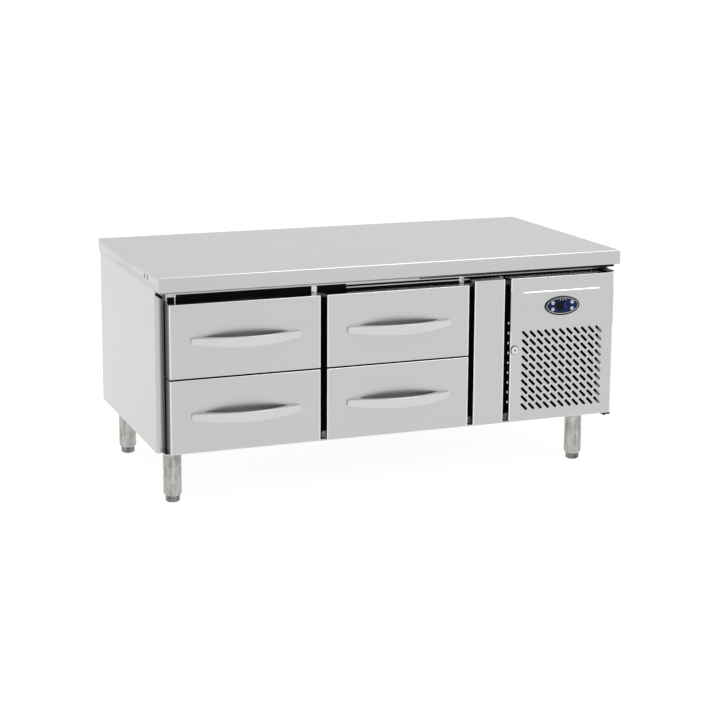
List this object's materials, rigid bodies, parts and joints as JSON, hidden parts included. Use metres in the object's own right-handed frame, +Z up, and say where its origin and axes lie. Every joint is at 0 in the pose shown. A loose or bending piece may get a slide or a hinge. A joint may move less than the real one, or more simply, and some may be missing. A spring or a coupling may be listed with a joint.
{
  "type": "refrigerated chef base",
  "caption": "Low refrigerated stainless counter on legs, with insulated drawers under a flat worktop and a grille door over the cooling machinery.",
  "frame": {"origin": "on the floor, at the centre of the whole box with the handles", "axes": "+X to the right seen from the front, -Y out of the drawer fronts, +Z up"},
  "size_m": [1.36, 0.738, 0.635],
  "materials": {
    "stainless": "brushed stainless sheet",
    "inner_steel": "plain stainless sheet",
    "cast_handle": "satin chrome",
    "black_rubber": "matte",
    "black_plastic": "satin",
    "foot_metal": "satin",
    "controller_blue": "gloss",
    "button_white": "satin",
    "foam": "rigid foam",
    "aluminium_fins": "mill",
    "black_paint": "satin paint",
    "copper": "drawn tube",
    "grey_box": "moulded"
  },
  "bodies": {
    "cabinet": {"base_panel": "stainless", "breaker_strips": "black_plastic", "cabinet_insulation": "foam", "compressor": "black_paint", "condenser_coil": "aluminium_fins", "condenser_shroud": "inner_steel", "door_hinges": "stainless", "drain_tray": "inner_steel", "electrical_box": "grey_box", "evaporator_coil": "aluminium_fins", "evaporator_shroud": "inner_steel", "fan_motors": "black_paint", "filler_post": "stainless", "front_frame": "stainless", "inner_liner": "inner_steel", "left_side_panel": "stainless", "leg_tubes": "stainless", "machine_partition": "inner_steel", "mains_gland": "black_plastic", "panel_fasteners": "stainless", "rear_panel": "stainless", "refrigerant_pipes": "copper", "right_side_panel": "stainless", "slide_supports": "inner_steel", "worktop": "stainless", "worktop_drip_strip": "black_rubber"},
    "door": {"door_panel": "stainless", "controller_bezel": "black_plastic", "controller_face": "controller_blue"},
    "lock": {"door_lock": "cast_handle"},
    "condenser_fan": {"condenser_fan_blades": "aluminium_fins"},
    "evaporator_fan": {"evaporator_fan_blades": "aluminium_fins"},
    "left_lower_drawer": {"left_lower_front": "stainless", "left_lower_gasket": "black_rubber", "left_lower_handle": "cast_handle", "left_lower_carrier": "inner_steel"},
    "left_lower_middle": {"left_lower_slide_middle": "inner_steel"},
    "left_upper_drawer": {"left_upper_front": "stainless", "left_upper_gasket": "black_rubber", "left_upper_handle": "cast_handle", "left_upper_carrier": "inner_steel"},
    "left_upper_middle": {"left_upper_slide_middle": "inner_steel"},
    "right_lower_drawer": {"right_lower_front": "stainless", "right_lower_gasket": "black_rubber", "right_lower_handle": "cast_handle", "right_lower_carrier": "inner_steel"},
    "right_lower_middle": {"right_lower_slide_middle": "inner_steel"},
    "right_upper_drawer": {"right_upper_front": "stainless", "right_upper_gasket": "black_rubber", "right_upper_handle": "cast_handle", "right_upper_carrier": "inner_steel"},
    "right_upper_middle": {"right_upper_slide_middle": "inner_steel"},
    "button_lower_left": {"controller_button_lower_left": "button_white"},
    "button_upper_left": {"controller_button_upper_left": "button_white"},
    "button_lower_right": {"controller_button_lower_right": "button_white"},
    "button_upper_right": {"controller_button_upper_right": "button_white"},
    "foot_front_left": {"foot_front_left": "foot_metal"},
    "foot_front_right": {"foot_front_right": "foot_metal"},
    "foot_rear_left": {"foot_rear_left": "foot_metal"},
    "foot_rear_right": {"foot_rear_right": "foot_metal"}
  },
  "joints": [
    {"name": "left_lower_drawer_slide", "type": "slide", "parent": "cabinet", "child": "left_lower_drawer", "axis": [0, -1, 0], "range_m": [0, 0.5]},
    {"name": "left_lower_middle_slide", "type": "slide", "parent": "cabinet", "child": "left_lower_middle", "axis": [0, -1, 0], "range_m": [0, 0.25]},
    {"name": "left_upper_drawer_slide", "type": "slide", "parent": "cabinet", "child": "left_upper_drawer", "axis": [0, -1, 0], "range_m": [0, 0.5]},
    {"name": "left_upper_middle_slide", "type": "slide", "parent": "cabinet", "child": "left_upper_middle", "axis": [0, -1, 0], "range_m": [0, 0.25]},
    {"name": "right_lower_drawer_slide", "type": "slide", "parent": "cabinet", "child": "right_lower_drawer", "axis": [0, -1, 0], "range_m": [0, 0.5]},
    {"name": "right_lower_middle_slide", "type": "slide", "parent": "cabinet", "child": "right_lower_middle", "axis": [0, -1, 0], "range_m": [0, 0.25]},
    {"name": "right_upper_drawer_slide", "type": "slide", "parent": "cabinet", "child": "right_upper_drawer", "axis": [0, -1, 0], "range_m": [0, 0.5]},
    {"name": "right_upper_middle_slide", "type": "slide", "parent": "cabinet", "child": "right_upper_middle", "axis": [0, -1, 0], "range_m": [0, 0.25]},
    {"name": "door_hinge", "type": "hinge", "parent": "cabinet", "child": "door", "pos_m": [0.6545, -0.311, 0.363], "axis": [0, 0, 1], "range_deg": [0, 110]},
    {"name": "lock_turn", "type": "hinge", "parent": "door", "child": "lock", "pos_m": [0.353, -0.325, 0.364], "axis": [0, 1, 0], "range_deg": [0, 90]},
    {"name": "press_lower_left", "type": "slide", "parent": "door", "child": "button_lower_left", "axis": [0, 1, 0], "range_m": [0, 0.0008], "stiffness_N_per_m": 400, "springref_m": -0.001},
    {"name": "press_upper_left", "type": "slide", "parent": "door", "child": "button_upper_left", "axis": [0, 1, 0], "range_m": [0, 0.0008], "stiffness_N_per_m": 400, "springref_m": -0.001},
    {"name": "press_lower_right", "type": "slide", "parent": "door", "child": "button_lower_right", "axis": [0, 1, 0], "range_m": [0, 0.0008], "stiffness_N_per_m": 400, "springref_m": -0.001},
    {"name": "press_upper_right", "type": "slide", "parent": "door", "child": "button_upper_right", "axis": [0, 1, 0], "range_m": [0, 0.0008], "stiffness_N_per_m": 400, "springref_m": -0.001},
    {"name": "condenser_fan_spin", "type": "hinge", "parent": "cabinet", "child": "condenser_fan", "pos_m": [0.4985, -0.1873, 0.2835], "axis": [0, 1, 0], "continuous": true},
    {"name": "evaporator_fan_spin", "type": "hinge", "parent": "cabinet", "child": "evaporator_fan", "pos_m": [0.2005, -0.146, 0.35775], "axis": [1, 0, 0], "continuous": true},
    {"name": "level_front_left", "type": "slide", "parent": "cabinet", "child": "foot_front_left", "axis": [0, 0, 1], "range_m": [-0.02, 0.01]},
    {"name": "level_front_right", "type": "slide", "parent": "cabinet", "child": "foot_front_right", "axis": [0, 0, 1], "range_m": [-0.02, 0.01]},
    {"name": "level_rear_left", "type": "slide", "parent": "cabinet", "child": "foot_rear_left", "axis": [0, 0, 1], "range_m": [-0.02, 0.01]},
    {"name": "level_rear_right", "type": "slide", "parent": "cabinet", "child": "foot_rear_right", "axis": [0, 0, 1], "range_m": [-0.02, 0.01]}
  ],
  "couplings": [
    {"joint": "left_lower_middle_slide", "follows": "left_lower_drawer_slide", "ratio": 0.5},
    {"joint": "left_upper_middle_slide", "follows": "left_upper_drawer_slide", "ratio": 0.5},
    {"joint": "right_lower_middle_slide", "follows": "right_lower_drawer_slide", "ratio": 0.5},
    {"joint": "right_upper_middle_slide", "follows": "right_upper_drawer_slide", "ratio": 0.5}
  ]
}
